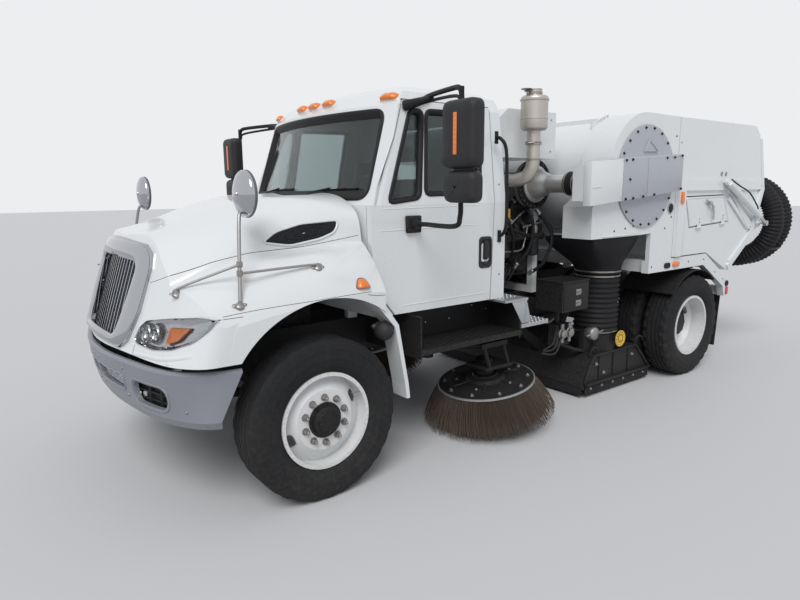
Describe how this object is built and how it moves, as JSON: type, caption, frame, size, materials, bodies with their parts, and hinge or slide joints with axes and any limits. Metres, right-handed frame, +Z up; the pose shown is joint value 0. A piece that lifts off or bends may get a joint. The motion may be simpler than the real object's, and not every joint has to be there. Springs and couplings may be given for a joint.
{
  "type": "street sweeper truck",
  "caption": "Conventional-cab truck with a tilting debris hopper, a blower and suction-and-blast pick-up head, hinged rear door, swinging gutter brooms and a forward-tilting hood.",
  "frame": {"origin": "on the floor under the middle of the bounding box", "axes": "+Z up; +Y rearwards along the truck, so it faces -Y; +X towards the driver's side, the truck's own left"},
  "size_m": [3.53, 7.2349, 2.6499],
  "materials": {
    "white_paint": "gloss",
    "wheel_paint": "gloss",
    "bumper_paint": "satin",
    "panel_paint": "satin",
    "black_paint": "satin",
    "engine_iron": "matte",
    "tread_metal": "matte",
    "rod_steel": "polished",
    "bright_chrome": "polished",
    "canister_steel": "matte",
    "tyre_rubber": "matte",
    "hose_rubber": "matte",
    "mirror_plastic": "satin",
    "window_glass": "gloss",
    "lamp_plastic": "gloss",
    "trim_plastic": "matte",
    "bristle": "matte"
  },
  "bodies": {
    "chassis": {"frame_rails": "black_paint", "cross_members": "black_paint", "truck_engine": "engine_iron", "front_axle": "black_paint", "rear_axle": "black_paint", "front_bumper": "bumper_paint", "cab_shell": "white_paint", "cab_glass": "window_glass", "cab_interior": "trim_plastic", "step_frames": "black_paint", "step_treads": "tread_metal", "fuel_tank": "engine_iron", "aux_engine": "engine_iron", "blower_drive": "tread_metal", "water_tank": "white_paint", "exhaust_stack": "canister_steel", "blower_module": "white_paint", "blower_cover": "panel_paint", "belt_guard": "panel_paint", "air_ducts": "black_paint", "air_hoses": "hose_rubber", "pickup_head": "black_paint", "hopper_subframe": "white_paint", "rear_fenders": "black_paint", "broom_brackets": "black_paint"},
    "hood": {"hood": "white_paint", "headlamps": "lamp_plastic", "grille": "bright_chrome", "hood_mirrors": "bright_chrome"},
    "cab_door_left": {"cab_door_left": "white_paint", "door_glass_left": "window_glass", "door_mirror_left": "mirror_plastic"},
    "knuckle_left": {"knuckle_left": "black_paint"},
    "wheel_front_left": {"tyre_front_left": "tyre_rubber", "rim_front_left": "wheel_paint"},
    "wheels_rear_left": {"tyres_rear_left": "tyre_rubber", "rims_rear_left": "wheel_paint"},
    "inspection_door_left": {"inspection_door_left": "white_paint"},
    "broom_arm_left": {"broom_arm_left": "black_paint"},
    "gutter_broom_left": {"gutter_broom_left": "bristle"},
    "cab_door_right": {"cab_door_right": "white_paint", "door_glass_right": "window_glass", "door_mirror_right": "mirror_plastic"},
    "knuckle_right": {"knuckle_right": "black_paint"},
    "wheel_front_right": {"tyre_front_right": "tyre_rubber", "rim_front_right": "wheel_paint"},
    "wheels_rear_right": {"tyres_rear_right": "tyre_rubber", "rims_rear_right": "wheel_paint"},
    "inspection_door_right": {"inspection_door_right": "white_paint"},
    "broom_arm_right": {"broom_arm_right": "black_paint"},
    "gutter_broom_right": {"gutter_broom_right": "bristle"},
    "hopper": {"hopper_body": "white_paint"},
    "rear_door": {"rear_door": "white_paint", "hand_hose": "hose_rubber"},
    "door_barrels": {"door_barrels": "white_paint"},
    "door_rods": {"door_rods": "rod_steel"},
    "hoist_barrel": {"hoist_barrel": "black_paint"},
    "hoist_rod": {"hoist_rod": "rod_steel"}
  },
  "joints": [
    {"name": "hood_tilt", "type": "hinge", "parent": "chassis", "child": "hood", "pos_m": [0, -3.4505, 0.724], "axis": [1, 0, 0], "range_deg": [0, 60]},
    {"name": "cab_door_left_hinge", "type": "hinge", "parent": "chassis", "child": "cab_door_left", "pos_m": [0.9785, -2.1335, 1.386], "axis": [0, 0, -1], "range_deg": [0, 65]},
    {"name": "steer_left", "type": "hinge", "parent": "chassis", "child": "knuckle_left", "pos_m": [0.88, -2.5825, 0.512], "axis": [0, 0, 1], "range_deg": [-35, 35]},
    {"name": "wheel_front_left_spin", "type": "hinge", "parent": "knuckle_left", "child": "wheel_front_left", "pos_m": [1.031, -2.5825, 0.512], "axis": [1, 0, 0], "continuous": true},
    {"name": "wheels_rear_left_spin", "type": "hinge", "parent": "chassis", "child": "wheels_rear_left", "pos_m": [0.916, 1.6615, 0.512], "axis": [1, 0, 0], "continuous": true},
    {"name": "broom_swing_left", "type": "hinge", "parent": "chassis", "child": "broom_arm_left", "pos_m": [0.6, -1.3325, 0.645], "axis": [0, 0, 1], "range_deg": [-8, 30]},
    {"name": "broom_spin_left", "type": "hinge", "parent": "broom_arm_left", "child": "gutter_broom_left", "pos_m": [0.846, -0.9185, 0.371], "axis": [0, -0.153, 0.9882], "continuous": true},
    {"name": "cab_door_right_hinge", "type": "hinge", "parent": "chassis", "child": "cab_door_right", "pos_m": [-0.9785, -2.1335, 1.386], "axis": [0, 0, 1], "range_deg": [0, 65]},
    {"name": "steer_right", "type": "hinge", "parent": "chassis", "child": "knuckle_right", "pos_m": [-0.88, -2.5825, 0.512], "axis": [0, 0, 1], "range_deg": [-35, 35]},
    {"name": "wheel_front_right_spin", "type": "hinge", "parent": "knuckle_right", "child": "wheel_front_right", "pos_m": [-1.031, -2.5825, 0.512], "axis": [1, 0, 0], "continuous": true},
    {"name": "wheels_rear_right_spin", "type": "hinge", "parent": "chassis", "child": "wheels_rear_right", "pos_m": [-0.916, 1.6615, 0.512], "axis": [1, 0, 0], "continuous": true},
    {"name": "broom_swing_right", "type": "hinge", "parent": "chassis", "child": "broom_arm_right", "pos_m": [-0.6, -1.3325, 0.645], "axis": [0, 0, -1], "range_deg": [-8, 30]},
    {"name": "broom_spin_right", "type": "hinge", "parent": "broom_arm_right", "child": "gutter_broom_right", "pos_m": [-0.846, -0.9185, 0.371], "axis": [0, -0.153, 0.9882], "continuous": true},
    {"name": "hopper_tilt", "type": "hinge", "parent": "chassis", "child": "hopper", "pos_m": [0, 2.2835, 0.985], "axis": [-1, 0, 0], "range_deg": [0, 45]},
    {"name": "rear_door_hinge", "type": "hinge", "parent": "hopper", "child": "rear_door", "pos_m": [0, 2.8795, 2.444], "axis": [1, 0, 0], "range_deg": [0, 60]},
    {"name": "inspection_door_left_hinge", "type": "hinge", "parent": "hopper", "child": "inspection_door_left", "pos_m": [1.206, 1.4805, 1.496], "axis": [0, 0.9993, 0.0381], "range_deg": [0, 90]},
    {"name": "inspection_door_right_hinge", "type": "hinge", "parent": "hopper", "child": "inspection_door_right", "pos_m": [-1.206, 1.4805, 1.496], "axis": [0, -0.9993, -0.0381], "range_deg": [0, 90]},
    {"name": "door_barrels_turn", "type": "hinge", "parent": "hopper", "child": "door_barrels", "pos_m": [0, 2.0625, 1.94], "axis": [1, 0, 0], "range_deg": [0, 31.12]},
    {"name": "door_rods_slide", "type": "slide", "parent": "door_barrels", "child": "door_rods", "axis": [0, 0.906, -0.4233], "range_m": [0, 0.6643]},
    {"name": "hoist_barrel_turn", "type": "hinge", "parent": "chassis", "child": "hoist_barrel", "pos_m": [0, 0.9175, 0.85], "axis": [1, 0, 0], "range_deg": [0, 10.44]},
    {"name": "hoist_rod_slide", "type": "slide", "parent": "hoist_barrel", "child": "hoist_rod", "axis": [0, 0.943, 0.3328], "range_m": [0, 0.3792]}
  ],
  "couplings": [
    {"joint": "steer_right", "follows": "steer_left", "ratio": 1},
    {"joint": "door_barrels_turn", "follows": "rear_door_hinge", "ratio": 0.50195},
    {"joint": "door_rods_slide", "follows": "rear_door_hinge", "m_per_rad": 0.63059},
    {"joint": "hoist_barrel_turn", "follows": "hopper_tilt", "ratio": 0.20977},
    {"joint": "hoist_rod_slide", "follows": "hopper_tilt", "m_per_rad": 0.47769}
  ]
}
